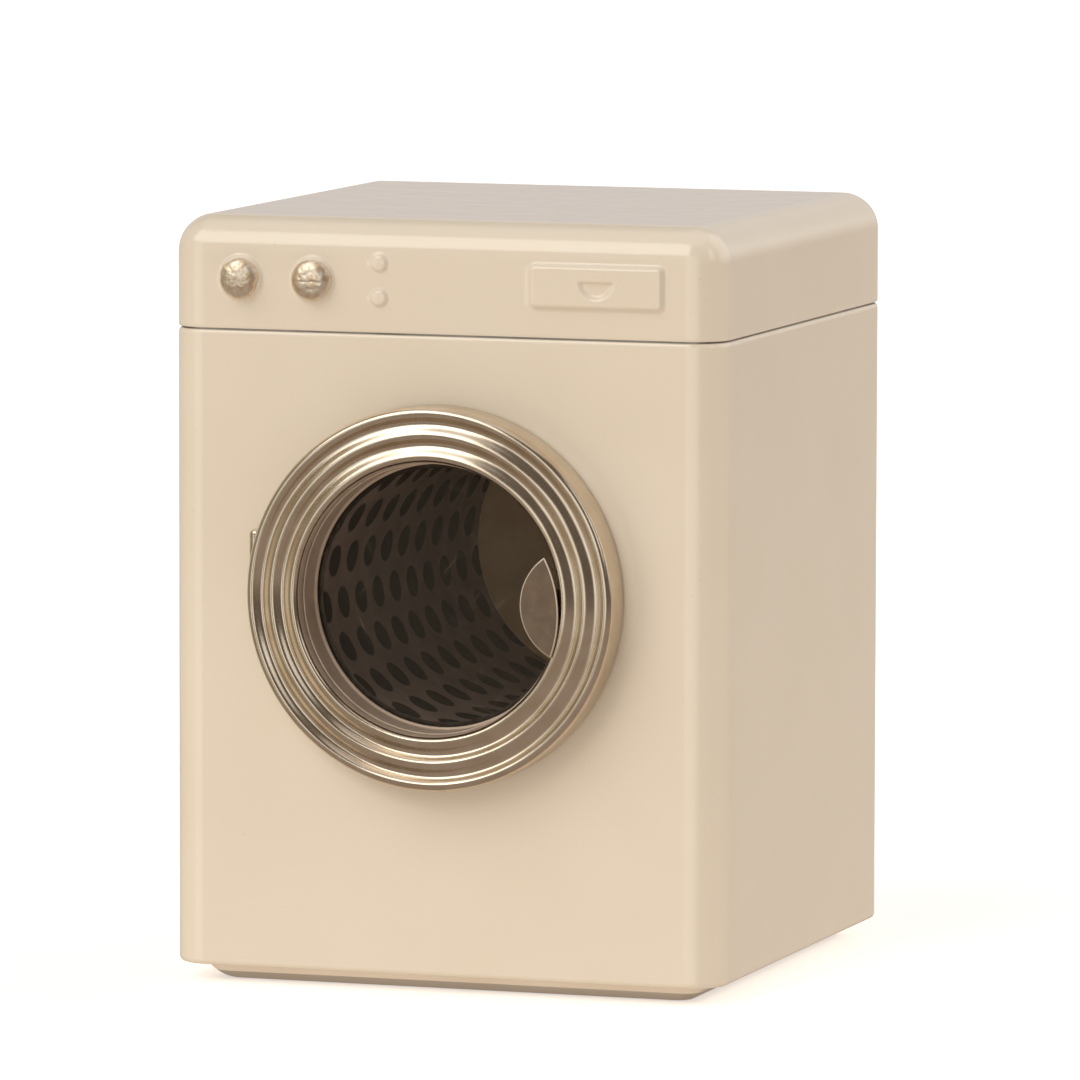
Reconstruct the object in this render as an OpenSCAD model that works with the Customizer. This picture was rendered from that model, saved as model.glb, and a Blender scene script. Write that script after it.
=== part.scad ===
// Toy front-loading washing machine of pressed and painted tinplate.
// Millimetres, +Z up, origin at the centre of the flat base; the door faces -Y.

/* [Cabinet] */
// Width of the cabinet from side to side
cabinet_w = 100; // [92:1:116]
// Depth of the cabinet from the front panel to the back
cabinet_d = 99; // [97:1:116]
// Height of the painted wrap, from the plinth to the lid's seam
wrap_h = 110.8; // [106:0.1:124]
// Radius of the upright corners and of the lid's top edge
corner_r = 6.5; // [5:0.5:8]
// Thickness of the tinplate
sheet_t = 0.4; // [0.3:0.05:0.5]
// Width of the wrap's folded lock seam, inside the middle of the back
lock_seam_w = 5; // [3:0.5:8]

/* [Base] */
// Height of the inset plinth under the wrap
plinth_h = 3.2; // [2.4:0.1:5]
// Inset of the plinth at its top, from the cabinet's sides
plinth_inset = 4.5; // [3:0.5:6]
// How much further the plinth is drawn in at its flat bottom
plinth_draw = 3.7; // [2:0.1:5]
// Radius of the plinth's corners in plan
plinth_corner_r = 2.6; // [1.5:0.1:4]
// Height of the base pan's upturned rim inside the wrap
pan_rim_h = 4; // [3:0.5:8]

/* [Lid] */
// Height of the lid above the seam
lid_h = 19.7; // [18.5:0.1:24]
// Open seam between the wrap and the lid
seam_gap = 0.3; // [0.2:0.05:0.5]
// How far the neck that the lid slips over stands above the seam
neck_rise = 5; // [3:0.5:5.5]
// How far the neck reaches down inside the wrap
neck_drop = 8; // [5:0.5:10]
// Clearance of the lid around the neck, on each side
slip_gap = 0.15; // [0.1:0.05:0.25]

/* [Pressed control panel] */
// Height of the knob seats and lamps pressed in the lid's front
emboss_h = 0.6; // [0.3:0.05:0.8]
// Height of the pressed soap drawer
drawer_rise = 0.85; // [0.4:0.05:1.2]
// Width of the pressed soap drawer
drawer_w = 25; // [20:0.5:28]
// Length of the pressed soap drawer, from its top to its bottom
drawer_h = 8.6; // [7:0.1:9]
// Corner radius of the pressed soap drawer
drawer_corner_r = 1; // [0.6:0.1:2]
// Distance of the drawer's end from the cabinet's right side
drawer_side = 9.5; // [8:0.1:12]
// Height of the drawer's middle above the seam
drawer_z = 9.1; // [8:0.1:10]
// Width of the half-moon finger recess in the drawer
grip_w = 6.6; // [4:0.1:8]
// Radius of each pressed lamp
lamp_r = 1.7; // [1:0.1:2.2]
// Distance of the lamps from the centre line, to the left
lamp_x = 11.3; // [8:0.1:16]
// Height of the lower lamp above the seam
lamp_z = 6.3; // [5:0.1:7]
// Distance between the two lamps
lamp_pitch = 6; // [4.8:0.1:6.5]

/* [Knobs] */
// Radius of a knob's domed head
knob_r = 3.6; // [3:0.1:3.8]
// How far the round seat pressed under a knob shows around it
seat_edge = 0.6; // [0.4:0.05:0.8]
// Height of a knob's domed head
knob_dome_h = 1.9; // [1.2:0.1:3]
// Radius of a knob's shank
knob_shank_r = 0.9; // [0.7:0.05:1.2]
// Length of a knob's shank, behind its head
knob_shank_l = 3.4; // [2.4:0.1:4]
// Distance of the outer knob from the cabinet's left side
knob_side = 13.4; // [12.5:0.1:14]
// Distance between the two knobs
knob_pitch = 13.2; // [10:0.1:15]
// Height of the knobs above the seam
knob_z = 9.1; // [8.5:0.1:9.5]
// Running clearance of a turning shank in its hole, all round
run_gap = 0.05; // [0.03:0.01:0.08]
// End play between a turning piece and what it turns against
end_gap = 0.15; // [0.1:0.05:0.3]
// Radius of the spring clip that holds a knob
clip_r = 2.4; // [1.8:0.1:2.8]
// Thickness of the spring clips and push nut
clip_t = 0.4; // [0.3:0.05:0.6]

/* [Door] */
// Distance of the door's centre below the cabinet's upper edge
door_drop = 44.7; // [42:0.1:52]
// Outer radius of the door's ring
door_r = 33.1; // [31:0.1:36]
// How far the ring's beads stand in front of the panel
door_proud = 7.6; // [6.4:0.1:9]
// Gap between the shut door and the panel
door_gap = 0.4; // [0.3:0.05:0.6]
// Distance of the outer bead's crest from the ring's outside
bead_edge = 1.2; // [0.8:0.05:1.4]
// Distance of the inner bead's crest from the cup's wall
roll_w = 0.9; // [0.8:0.05:1.5]
// Number of beads pressed in the ring
bead_count = 3; // [2:1:4]
// Depth of the valleys between the beads
bead_depth = 1.05; // [0.3:0.05:1.25]
// Width of a bead's steeper inner side, from its crest to the valley
bead_in = 1.5; // [1.2:0.05:1.8]
// Height over which the outer bead rounds down into the skirt
edge_round_h = 1.5; // [1.2:0.1:2]
// Height over which the inner bead rolls down into the cup
inner_roll_h = 1.3; // [0.9:0.1:1.6]
// Inner radius of the window's cup
cup_r = 23.2; // [22:0.1:24]
// Depth of the window's face behind the panel's front
window_sink = 0.6; // [0.4:0.05:0.8]
// Width of the lip that the window is pressed against
window_lip = 0.45; // [0.3:0.05:0.9]
// Thickness of the clear window
window_t = 0.5; // [0.3:0.05:0.7]
// Thickness of the ring that snaps in behind the window
snap_t = 0.3; // [0.2:0.05:0.5]
// Clearance of the window in its cup, all round
window_gap = 0.1; // [0.05:0.05:0.3]

/* [Door handle] */
// Length of the pointed handle plate, tip to tip
tab_l = 17.3; // [12:0.1:20]
// Bulge of the handle plate towards the window
tab_in = 5; // [3:0.1:7]
// Bulge of the handle plate towards the ring
tab_out = 1.9; // [1.5:0.1:2.5]
// Lean of the handle plate from the upright, in degrees
tab_lean = 3.9; // [0:0.1:6]
// Drop of the handle plate's middle below the door's centre
tab_down = 0.4; // [0:0.1:1]
// Thickness of the handle plate
tab_t = 0.4; // [0.3:0.05:0.6]
// How far the plate's middle laps over the edge of the cup's wall
tab_lap = 0.2; // [0.1:0.05:0.4]
// Clearance of the plate in front of the beads' crests
tab_clear = 0.05; // [0.05:0.05:0.4]
// Length of the handle's foot along the cup's wall
tab_foot_l = 6; // [4:0.5:9]
// Height of the handle's foot below the plate
tab_foot_h = 4; // [2:0.5:5]

/* [Hinge] */
// Length of the hinge barrel
hinge_l = 16; // [14:0.1:20]
// Height of the barrel's middle above the door's centre
hinge_up = 1.7; // [0:0.1:3]
// Outer radius of the hinge barrel
barrel_r = 1.25; // [1.1:0.05:1.35]
// Radius of the hinge pin
pin_r = 0.6; // [0.45:0.05:0.7]
// Clearance of the barrel from what it turns past
barrel_gap = 0.35; // [0.3:0.05:0.5]
// Gap between two knuckles of the barrel
knuckle_gap = 0.25; // [0.15:0.05:0.4]
// Height of the pin's rounded head
pin_head_h = 1; // [0.6:0.1:1.5]
// Distance of the fixed leaf's end from the cabinet's rounded corner
leaf_side = 2.4; // [1:0.1:5]
// Clearance of the door's leaf from the cup's wall
leaf_clear = 1.2; // [0.8:0.1:2]
// Radius of the door leaf's rivets
rivet_r = 0.8; // [0.6:0.05:1]
// Distance of the rivets from the leaf's end
rivet_inset = 2; // [1.6:0.1:2.6]
// Distance of each rivet from the leaf's edge
rivet_edge = 1.5; // [1.4:0.1:1.8]
// Radius of the door's magnet
magnet_r = 2.6; // [2:0.1:3]
// Thickness of the door's magnet
magnet_t = 1.6; // [1:0.1:2.2]

/* [Drum] */
// How much wider the drum is than the window's cup, on each side
drum_lap = 0.9; // [0.8:0.1:1.4]
// Room between the drum's back and the cabinet's back, for the bearing
rear_room = 7.6; // [6:0.1:16]
// Thickness of the drum's sheet
drum_t = 0.3; // [0.2:0.05:0.4]
// Gap between the drum's mouth and the back of the shut door
mouth_gap = 0.6; // [0.4:0.05:1]
// Clearance of the drum's mouth in its collar, all round
collar_gap = 0.3; // [0.2:0.05:0.4]
// Thickness of the collar around the drum's mouth
collar_t = 0.5; // [0.4:0.05:0.8]
// Depth of the collar behind the panel
collar_l = 8; // [5:0.5:12]
// Width of the collar's flange against the panel
collar_flange = 4.5; // [3:0.1:5]
// Radius of the drum's axle
axle_r = 1.5; // [1.2:0.05:1.8]
// Radius of the axle's head inside the drum
axle_head_r = 3.2; // [2.6:0.1:4]
// Height of the axle's head inside the drum
axle_head_h = 1.2; // [0.8:0.1:1.6]
// Radius of the hub plate behind the drum's back
hub_r = 7; // [5.5:0.5:10]
// Thickness of the hub plate
hub_t = 0.8; // [0.6:0.05:1]
// Wall of the flanged bearing bush
bush_wall = 0.8; // [0.6:0.05:1]
// Width of the bearing bush's flange
bush_flange = 1.6; // [1.2:0.1:2]
// Thickness of the bush's flange, and of its rim behind the bracket
bush_flange_t = 0.5; // [0.4:0.05:0.7]
// Length of the axle past its push nut
axle_tail = 0.9; // [0.4:0.1:1.4]
// Thickness of the bracket that carries the drum
bracket_t = 0.6; // [0.5:0.05:0.8]
// Height of the bracket
bracket_h = 16; // [12:0.5:24]
// Span of the bracket's raised bridge
bracket_span = 44; // [30:1:56]
// Length of each of the bracket's welded feet
bracket_foot = 9; // [6:0.5:12]

/* [Hidden] */
$fn = 96;

// Paint and metal colours as the object shows them
cream = "#E2D3B8";
plinth_cream = "#D3C1A6";
champagne = "#B9A284";
tab_brown = "#8C7763";
bare_tin = "#B7B2A8";
drum_bronze = "#74655A";
brass_tone = "#C7AA7C";

// Heights of the seam, the lid's top and the door's centre
seam_z = plinth_h + wrap_h;
lid_top_z = seam_z + lid_h;
door_z = seam_z - door_drop;
front_y = -cabinet_d / 2;
// Room that a cut runs past the face it cuts
over = 1;

// Radii and heights of the door ring's pressed face
cup_out_r = cup_r + sheet_t;
bead_pitch = (door_r - bead_edge - roll_w - cup_out_r) / (bead_count - 1);
outer_crest_r = door_r - bead_edge;
inner_crest_r = cup_out_r + roll_w;
steps_per_bead = 10;
arc_steps = 6;

// Places of the hinge
hinge_x = -door_r;
hinge_h = barrel_r + barrel_gap;
leaf_w = cabinet_w / 2 - corner_r - leaf_side - door_r;
knuckle_l = (hinge_l - 2 * knuckle_gap) / 3;
fixed_knuckle_up = knuckle_l + knuckle_gap;

// Places and radius on the lid's front, from the centre line
seat_r = knob_r + seat_edge;
knob_outer_x = cabinet_w / 2 - knob_side;
drawer_x = cabinet_w / 2 - drawer_side - drawer_w / 2;

// Places along the drum's axis, measured from the front panel into the cabinet
back_in = cabinet_d - sheet_t;
drum_depth = back_in - rear_room;
door_back_depth = window_sink + window_t + snap_t;
mouth_depth = door_back_depth + mouth_gap;
drum_r = cup_out_r + drum_lap;
drum_out_r = drum_r + drum_t;
mouth_r = drum_out_r + collar_gap;
hub_end = drum_depth + drum_t + hub_t;
bush_start = hub_end + end_gap;
web_start = bush_start + bush_flange_t;
bush_end = web_start + bracket_t + bush_flange_t;
nut_start = bush_end + end_gap;
axle_end = nut_start + clip_t + axle_tail;

// Rounded rectangle in plan, of two bars and four corner discs
module rounded_rect(w, d, r) {
    square([w - 2 * r, d], center = true);
    square([w, d - 2 * r], center = true);
    for (sx = [-1, 1])
        for (sy = [-1, 1])
            translate([sx * (w / 2 - r), sy * (d / 2 - r)]) circle(r = r);
}

// Upright sheet tube of rounded rectangular plan
module sheet_tube(inset, height) {
    linear_extrude(height = height)
        difference() {
            rounded_rect(cabinet_w - 2 * inset, cabinet_d - 2 * inset, corner_r - inset);
            rounded_rect(
                cabinet_w - 2 * (inset + sheet_t),
                cabinet_d - 2 * (inset + sheet_t),
                corner_r - inset - sheet_t
            );
        }
}

// Door frame: x across, y up, z out of the front panel, origin at the door's centre
module on_door() {
    translate([0, front_y, door_z]) rotate([90, 0, 0]) children();
}

// Drum frame: z runs from the front panel into the cabinet
module on_drum(depth) {
    translate([0, front_y + depth, door_z]) rotate([-90, 0, 0]) children();
}

// Lid front frame: x across, y up from the seam, z out of the lid's front
module on_lid_front(x, up) {
    translate([x, front_y, seam_z + up]) rotate([90, 0, 0]) children();
}

// Flat ring
module ring(r_out, r_in, height) {
    difference() {
        cylinder(r = r_out, h = height);
        translate([0, 0, -over]) cylinder(r = r_in, h = height + 2 * over);
    }
}

// Cylinder of length l along the hinge's axis, in the door frame, its middle up from the barrel's
module hinge_rod(r, l, up = 0) {
    translate([hinge_x, hinge_up + up, hinge_h])
        rotate([90, 0, 0]) cylinder(r = r, h = l, center = true, $fn = 48);
}

// The fixed leaf's two necks from depth_in behind the panel's front to out, or with play their slots
module hinge_necks(play, depth_in, out) {
    for (s = [-1, 1])
        translate([hinge_x, hinge_up + s * fixed_knuckle_up, (out - depth_in) / 2])
            cube([sheet_t + 2 * play, knuckle_l + 2 * play, out + depth_in], center = true);
}

// Front, sides and back in one sheet, joined by a folded lock seam inside the back
module cabinet_wrap() {
    slot_play = 0.05;
    seam_play = 0.2;
    seam_low = plinth_h + pan_rim_h + seam_play;
    seam_high = seam_z - neck_drop - seam_play;
    color(cream) {
        difference() {
            translate([0, 0, plinth_h]) sheet_tube(0, wrap_h);
            on_door() translate([0, 0, -2 * sheet_t]) cylinder(r = mouth_r, h = 4 * sheet_t);
            on_door() hinge_necks(slot_play, 2 * sheet_t, sheet_t);
        }
        translate([-lock_seam_w / 2, front_y + back_in - 2 * sheet_t, seam_low])
            cube([lock_seam_w, 2 * sheet_t, seam_high - seam_low]);
    }
}

// Inset of the plinth's wall at a share s of its way down, rounding into the flat bottom
function plinth_in(s) = plinth_inset + plinth_draw * (s + 1 - sqrt(1 - s * s)) / 2;

// Solid bowl of the plinth, drawn in by extra and cut off at floor_z
module plinth_bowl(extra, floor_z) {
    levels = [0, 0.35, 0.65, 0.85, 0.96, 1];
    skin = 0.01;
    hull()
        for (s = levels)
            translate([0, 0, max(floor_z, plinth_h * (1 - s)) - (s == 0 ? skin : 0)])
                linear_extrude(height = skin)
                    rounded_rect(
                        cabinet_w - 2 * (plinth_in(s) + extra),
                        cabinet_d - 2 * (plinth_in(s) + extra),
                        plinth_corner_r,
                        $fn = 32
                    );
}

// Closed base: rim inside the wrap, flange under it and the drawn plinth
module base_pan() {
    color(plinth_cream) {
        translate([0, 0, plinth_h]) sheet_tube(sheet_t, pan_rim_h);
        difference() {
            union() {
                plinth_bowl(0, 0);
                translate([0, 0, plinth_h])
                    linear_extrude(height = sheet_t)
                        rounded_rect(cabinet_w - 2 * sheet_t, cabinet_d - 2 * sheet_t, corner_r - sheet_t);
            }
            plinth_bowl(sheet_t, sheet_t);
            translate([0, 0, plinth_h - sheet_t])
                linear_extrude(height = 3 * sheet_t)
                    rounded_rect(
                        cabinet_w - 2 * (plinth_inset + sheet_t),
                        cabinet_d - 2 * (plinth_inset + sheet_t),
                        plinth_corner_r
                    );
        }
    }
}

// Band inside the wrap's mouth that the lid slips over
module neck_collar() {
    color(bare_tin)
        translate([0, 0, seam_z - neck_drop]) sheet_tube(sheet_t + slip_gap, neck_drop + neck_rise);
}

// Collar behind the panel that guides the drum's mouth
module mouth_collar() {
    color(bare_tin)
        on_drum(sheet_t) {
            ring(mouth_r + collar_flange, mouth_r, collar_t);
            ring(mouth_r + collar_t, mouth_r, collar_l);
        }
}

// Fixed half of the hinge: two knuckles, necks through the panel and a leaf behind it
module hinge_fixed_leaf() {
    color(champagne)
        on_door()
            difference() {
                union() {
                    for (s = [-1, 1]) hinge_rod(barrel_r, knuckle_l, s * fixed_knuckle_up);
                    hinge_necks(0, 2 * sheet_t, hinge_h);
                    translate([hinge_x - leaf_w, hinge_up - hinge_l / 2, -2 * sheet_t])
                        cube([leaf_w + sheet_t / 2, hinge_l, sheet_t]);
                }
                hinge_rod(pin_r, 2 * hinge_l);
            }
}

// Pin held in the fixed knuckles, with a rounded head at the top
module hinge_pin() {
    color(champagne)
        on_door() {
            hinge_rod(pin_r, hinge_l);
            translate([hinge_x, hinge_up + hinge_l / 2, hinge_h])
                rotate([-90, 0, 0])
                    rotate_extrude($fn = 48) dome_section(barrel_r, pin_head_h);
        }
}

// Half section of a low dome: flat below, rounded above
module dome_section(r, h) {
    polygon(concat([[0, 0]], [for (i = [0:8]) [r * cos(i * 11.25), h * sin(i * 11.25)]]));
}

// Bridge welded inside the back that carries the drum's bearing
module drum_bracket() {
    back_y = front_y + back_in;
    web_y = front_y + web_start;
    foot = bracket_span / 2;
    bridge = foot - bracket_foot / 2;
    right = [
        [bridge - bracket_t, web_y + bracket_t], [foot - bracket_t / 2, back_y],
        [foot + bracket_foot, back_y], [foot + bracket_foot, back_y - bracket_t],
        [foot, back_y - bracket_t], [bridge, web_y]
    ];
    left = [for (i = [len(right) - 1:-1:0]) [-right[i][0], right[i][1]]];
    color(bare_tin)
        difference() {
            translate([0, 0, door_z - bracket_h / 2])
                linear_extrude(height = bracket_h) polygon(concat(right, left));
            on_drum(web_start - over) cylinder(r = axle_r + run_gap + bush_wall, h = bracket_t + 2 * over);
        }
}

// Flanged bush clinched in the bracket
module bearing_bush() {
    bore_r = axle_r + run_gap;
    color(brass_tone)
        on_drum(bush_start) {
            ring(bore_r + bush_wall + bush_flange, bore_r, bush_flange_t);
            ring(bore_r + bush_wall, bore_r, bush_end - bush_start);
        }
}

// Rolled drum wall, open at the mouth
module drum_tube() {
    color(drum_bronze) on_drum(mouth_depth) ring(drum_out_r, drum_r, drum_depth + drum_t - mouth_depth);
}

// Flat disc that closes the drum
module drum_back() {
    color(drum_bronze) on_drum(drum_depth) ring(drum_r, axle_r, drum_t);
}

// Stiffening plate behind the drum's back
module drum_hub() {
    color(bare_tin) on_drum(drum_depth + drum_t) ring(hub_r, axle_r, hub_t);
}

// Axle riveted through the drum's back, with its head inside the drum
module drum_axle() {
    color(brass_tone) {
        on_drum(drum_depth) cylinder(r = axle_r, h = axle_end - drum_depth);
        translate([0, front_y + drum_depth, door_z])
            rotate([90, 0, 0]) rotate_extrude() dome_section(axle_head_r, axle_head_h);
    }
}

// Push nut that keeps the axle in its bush
module axle_push_nut() {
    color(bare_tin) on_drum(nut_start) ring(axle_r + bush_wall + bush_flange, axle_r, clip_t);
}

// Quarter curve at a crest of radius cx, from the start angle to the end angle, over the height low
function edge_curve(cx, low, rx, ry, start, end) = [
    for (i = [0:arc_steps]) let (a = start + (end - start) * i / arc_steps)
        [cx + rx * cos(a), low + ry * sin(a)]
];

// Share of the bead's depth at the distance in from its crest
function bead_share(in) = in < bead_in
    ? (1 - cos(180 * in / bead_in)) / 2
    : (1 + cos(180 * (in - bead_in) / (bead_pitch - bead_in))) / 2;

// Points of the beaded face from the outer crest to the inner one, sunk by drop
function beads(drop) = [
    for (i = [1:steps_per_bead * (bead_count - 1) - 1])
        let (
            u = i / steps_per_bead,
            share = bead_share(bead_pitch * (u - floor(u)))
        )
        [outer_crest_r - bead_pitch * u, door_proud - drop - bead_depth * share]
];

// Clearance around the hinge barrel, cut from the door's ring and back ring
module hinge_notch() {
    notch_right = hinge_x + barrel_r + barrel_gap;
    notch_high = hinge_h + barrel_r + barrel_gap;
    translate([notch_right - 2 * door_r, hinge_up - hinge_l / 2 - knuckle_gap, -over])
        cube([2 * door_r, hinge_l + 2 * knuckle_gap + pin_head_h, notch_high + over]);
}

// Deep-drawn ring with its beads and a plain skirt
module door_ring() {
    edge_low = door_proud - edge_round_h;
    roll_low = door_proud - inner_roll_h;
    t = sheet_t;
    outside = concat(
        [[door_r, door_gap]],
        edge_curve(outer_crest_r, edge_low, bead_edge, edge_round_h, 0, 90),
        beads(0),
        edge_curve(inner_crest_r, roll_low, roll_w, inner_roll_h, 90, 180)
    );
    inside = concat(
        [[door_r - t, door_gap]],
        edge_curve(outer_crest_r, edge_low, bead_edge - t, edge_round_h - t, 0, 90),
        beads(t),
        edge_curve(inner_crest_r, roll_low, roll_w - t, inner_roll_h - t, 90, 180)
    );
    last = len(inside) - 1;
    color(champagne)
        on_door()
            difference() {
                rotate_extrude($fn = 128) polygon(concat(outside, [for (i = [last:-1:0]) inside[i]]));
                hinge_notch();
            }
}

// Cup that lines the door's opening and seats the window against its lip
module window_cup() {
    cup_top = door_proud - inner_roll_h + sheet_t;
    color(champagne)
        on_door() {
            translate([0, 0, -door_back_depth]) ring(cup_out_r, cup_r, cup_top + door_back_depth);
            translate([0, 0, -window_sink]) ring(cup_out_r, cup_r - window_lip, sheet_t);
        }
}

// Places of the door's leaf and its rivets
leaf_low = door_gap + sheet_t;
leaf_start_x = hinge_x + (pin_r + barrel_r) / 2;
leaf_end_x = -cup_out_r - leaf_clear;
rivet_x = leaf_end_x - rivet_inset;
rivet_y = knuckle_l / 2 - rivet_edge;

module rivet_shanks(low, height) {
    for (s = [-1, 1])
        translate([rivet_x, hinge_up + s * rivet_y, low]) cylinder(r = rivet_r, h = height, $fn = 32);
}

// Flat ring that closes the door's hollow from behind
module door_back_ring() {
    color(bare_tin)
        on_door()
            difference() {
                translate([0, 0, door_gap]) ring(door_r - sheet_t, cup_out_r, sheet_t);
                hinge_notch();
                rivet_shanks(0, 4 * sheet_t);
            }
}

// Clear window disc
module door_window() {
    color("#DCE3E4", 0.35)
        on_door() translate([0, 0, -window_sink - window_t]) cylinder(r = cup_r - window_gap, h = window_t);
}

// Ring that snaps into the cup behind the window
module window_snap_ring() {
    snap_w = 1.2;
    color(bare_tin) on_door() translate([0, 0, -door_back_depth]) ring(cup_r, cup_r - snap_w, snap_t);
}

// Pointed handle plate with a foot welded to the cup's wall
tab_in_r = (tab_l * tab_l / 4 + tab_in * tab_in) / (2 * tab_in);
tab_out_r = (tab_l * tab_l / 4 + tab_out * tab_out) / (2 * tab_out);
tab_x = cup_out_r + tab_lap - tab_out;
tab_low = door_proud + tab_clear;

module handle_tab() {
    foot_top = tab_low + tab_t / 2;
    foot_low = tab_low - tab_foot_h;
    color(tab_brown)
        on_door() {
            translate([tab_x, -tab_down, tab_low])
                rotate([0, 0, tab_lean])
                    intersection() {
                        translate([tab_in_r - tab_in, 0, 0]) cylinder(r = tab_in_r, h = tab_t, $fn = 128);
                        translate([tab_out - tab_out_r, 0, 0]) cylinder(r = tab_out_r, h = tab_t, $fn = 128);
                    }
            intersection() {
                translate([0, 0, foot_low]) ring(cup_r, cup_r - sheet_t, foot_top - foot_low);
                translate([0, -tab_down - tab_foot_l / 2, 0]) cube([2 * cup_r, tab_foot_l, 2 * door_proud]);
            }
        }
}

// Moving half of the hinge: one knuckle and a leaf inside the ring
module hinge_door_leaf() {
    color(bare_tin)
        on_door()
            difference() {
                union() {
                    hinge_rod(barrel_r, knuckle_l);
                    translate([leaf_start_x, hinge_up - knuckle_l / 2, leaf_low])
                        cube([leaf_end_x - leaf_start_x, knuckle_l, sheet_t]);
                }
                hinge_rod(pin_r + run_gap, 2 * knuckle_l);
                rivet_shanks(0, 4 * sheet_t);
            }
}

// Two rivets through the door's leaf and the back ring, flush behind
module door_leaf_rivets() {
    head_h = 0.6;
    head_share = 1.7;
    color(brass_tone)
        on_door() {
            rivet_shanks(door_gap, 2 * sheet_t);
            for (s = [-1, 1])
                translate([rivet_x, hinge_up + s * rivet_y, leaf_low + sheet_t])
                    rotate_extrude($fn = 32) dome_section(head_share * rivet_r, head_h);
        }
}

// Disc magnet glued inside the ring, opposite the hinge
module door_magnet() {
    magnet_x = (cup_out_r + door_r - sheet_t) / 2;
    color("#4A4A4C")
        on_door() translate([magnet_x, 0, leaf_low]) cylinder(r = magnet_r, h = magnet_t, $fn = 48);
}

// Rounded block of the lid, inset by a sheet, for its outside and its hollow
module lid_block(inset) {
    r = corner_r - inset;
    x = cabinet_w / 2 - corner_r;
    y = cabinet_d / 2 - corner_r;
    low = seam_z + seam_gap - (inset > 0 ? over : 0);
    hull() {
        for (sx = [-1, 1])
            for (sy = [-1, 1]) {
                translate([sx * x, sy * y, lid_top_z - corner_r]) sphere(r = r, $fn = 40);
                translate([sx * x, sy * y, low]) cylinder(r = r, h = lid_top_z - corner_r - low, $fn = 40);
            }
        translate([-x, -y, lid_top_z - corner_r]) cube([2 * x, 2 * y, r]);
    }
}

// Round seat pressed out of the lid's front under a knob, with a sloped flank
module knob_seat() {
    translate([0, 0, -sheet_t / 2]) cylinder(r = seat_r, h = sheet_t / 2, $fn = 64);
    cylinder(r1 = seat_r, r2 = seat_r - emboss_h, h = emboss_h, $fn = 64);
}

// Lid with its pressed drawer, lamps and knob seats
module lid() {
    grip_r = grip_w / 2;
    color(cream)
        difference() {
            union() {
                difference() {
                    lid_block(0);
                    lid_block(sheet_t);
                }
                for (i = [0, 1]) {
                    on_lid_front(i * knob_pitch - knob_outer_x, knob_z) knob_seat();
                    on_lid_front(-lamp_x, lamp_z + i * lamp_pitch)
                        rotate_extrude($fn = 48) dome_section(lamp_r, emboss_h);
                }
                on_lid_front(drawer_x, drawer_z)
                    translate([0, 0, -sheet_t / 2])
                        linear_extrude(height = drawer_rise + sheet_t / 2)
                            rounded_rect(drawer_w, drawer_h, drawer_corner_r, $fn = 32);
            }
            on_lid_front(drawer_x, drawer_z + grip_r / 3)
                intersection() {
                    cylinder(r = grip_r, h = 2 * drawer_rise, $fn = 48);
                    translate([-grip_r, -grip_w, 0]) cube([grip_w, grip_w, 2 * drawer_rise]);
                }
            for (i = [0, 1])
                on_lid_front(i * knob_pitch - knob_outer_x, knob_z)
                    cylinder(r = knob_shank_r + run_gap, h = 4 * sheet_t, center = true, $fn = 48);
        }
}

// Knob: a low dome on a plain shank
module knob(x) {
    color(champagne)
        on_lid_front(x, knob_z)
            translate([0, 0, emboss_h + end_gap]) {
                rotate_extrude() dome_section(knob_r, knob_dome_h);
                translate([0, 0, -knob_shank_l])
                    cylinder(r = knob_shank_r, h = knob_shank_l + knob_dome_h / 2, $fn = 48);
            }
}

// Spring clip pushed onto a knob's shank inside the lid
module knob_clip(x) {
    color(bare_tin)
        on_lid_front(x, knob_z)
            translate([0, 0, -sheet_t - end_gap - clip_t]) ring(clip_r, knob_shank_r, clip_t, $fn = 48);
}

module outer_knob() { knob(-knob_outer_x); }
module outer_knob_clip() { knob_clip(-knob_outer_x); }
module inner_knob() { knob(knob_pitch - knob_outer_x); }
module inner_knob_clip() { knob_clip(knob_pitch - knob_outer_x); }

cabinet_wrap();
base_pan();
neck_collar();
mouth_collar();
hinge_fixed_leaf();
hinge_pin();
drum_bracket();
bearing_bush();
drum_tube();
drum_back();
drum_hub();
drum_axle();
axle_push_nut();
door_ring();
window_cup();
door_back_ring();
door_window();
window_snap_ring();
handle_tab();
hinge_door_leaf();
door_leaf_rivets();
door_magnet();
lid();
outer_knob();
outer_knob_clip();
inner_knob();
inner_knob_clip();
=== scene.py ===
import math

import bmesh
import bpy
import numpy as np
from mathutils import Matrix, Vector, noise


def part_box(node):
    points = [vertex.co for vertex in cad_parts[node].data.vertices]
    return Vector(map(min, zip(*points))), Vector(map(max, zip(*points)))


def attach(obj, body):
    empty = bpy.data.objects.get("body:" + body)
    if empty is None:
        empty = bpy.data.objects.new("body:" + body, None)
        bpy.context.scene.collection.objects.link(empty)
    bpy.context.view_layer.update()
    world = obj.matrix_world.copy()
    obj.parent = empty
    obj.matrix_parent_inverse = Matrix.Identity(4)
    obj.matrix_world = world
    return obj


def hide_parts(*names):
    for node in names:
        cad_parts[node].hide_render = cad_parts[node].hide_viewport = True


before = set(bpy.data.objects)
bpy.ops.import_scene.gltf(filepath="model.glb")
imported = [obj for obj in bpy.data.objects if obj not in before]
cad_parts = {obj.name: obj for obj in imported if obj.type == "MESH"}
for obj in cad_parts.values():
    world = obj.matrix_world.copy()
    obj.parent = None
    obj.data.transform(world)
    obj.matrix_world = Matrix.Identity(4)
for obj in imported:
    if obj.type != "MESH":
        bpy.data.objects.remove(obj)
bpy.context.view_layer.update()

# Base pan: a shallow tray of painted tinplate, drawn in one press stroke. Its rim stands inside
# the cabinet's wrap and its drawn-in foot is the low plinth that the machine rests on.
MM = 0.001


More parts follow.
